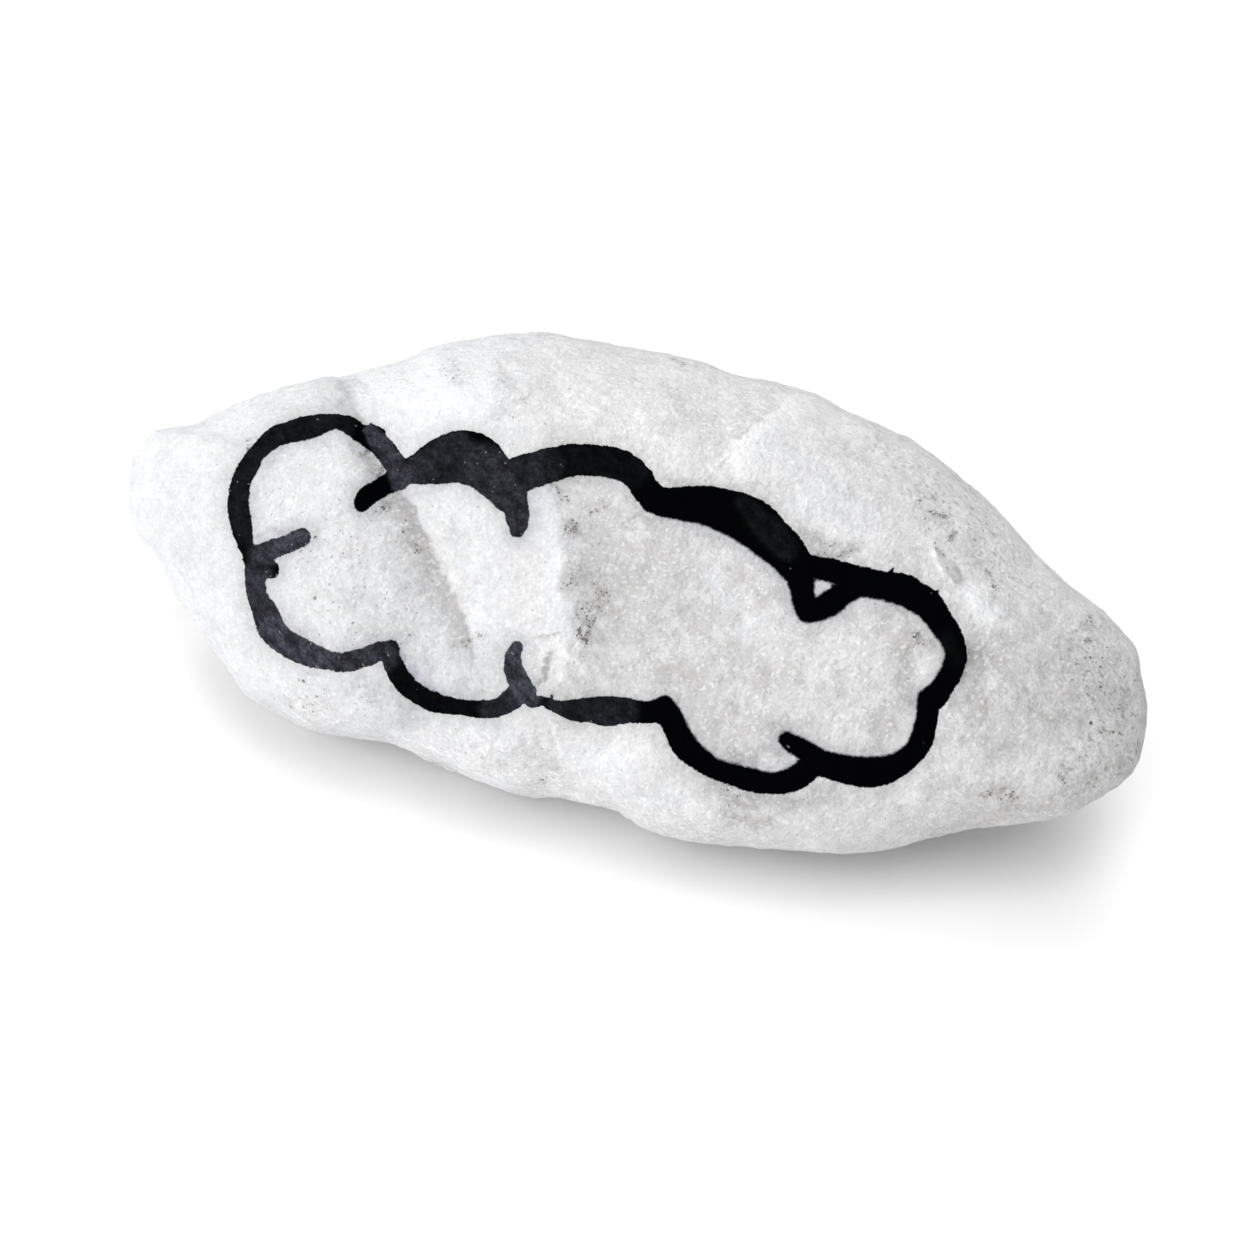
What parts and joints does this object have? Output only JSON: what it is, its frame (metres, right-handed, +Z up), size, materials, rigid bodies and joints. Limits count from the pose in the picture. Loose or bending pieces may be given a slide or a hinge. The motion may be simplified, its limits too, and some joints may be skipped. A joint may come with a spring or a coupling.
{
  "type": "painted stone",
  "caption": "Elongated natural pebble of white crystalline rock with a cloud outline painted in black on its face, lying on a worn flat patch.",
  "frame": {"origin": "bottom centre of the bounding box, on the ground under the stone", "axes": "+X along the stone's length, towards its blunter end; +Z up; the painted face looks up and to -Y"},
  "size_m": [0.1078, 0.0497, 0.0355],
  "materials": {
    "painted_rock": "matte, finely granular white crystalline rock; the black cloud outline on its face is satin marker paint and is colour only"
  },
  "bodies": {
    "root": {"stone": "painted_rock"}
  },
  "joints": []
}
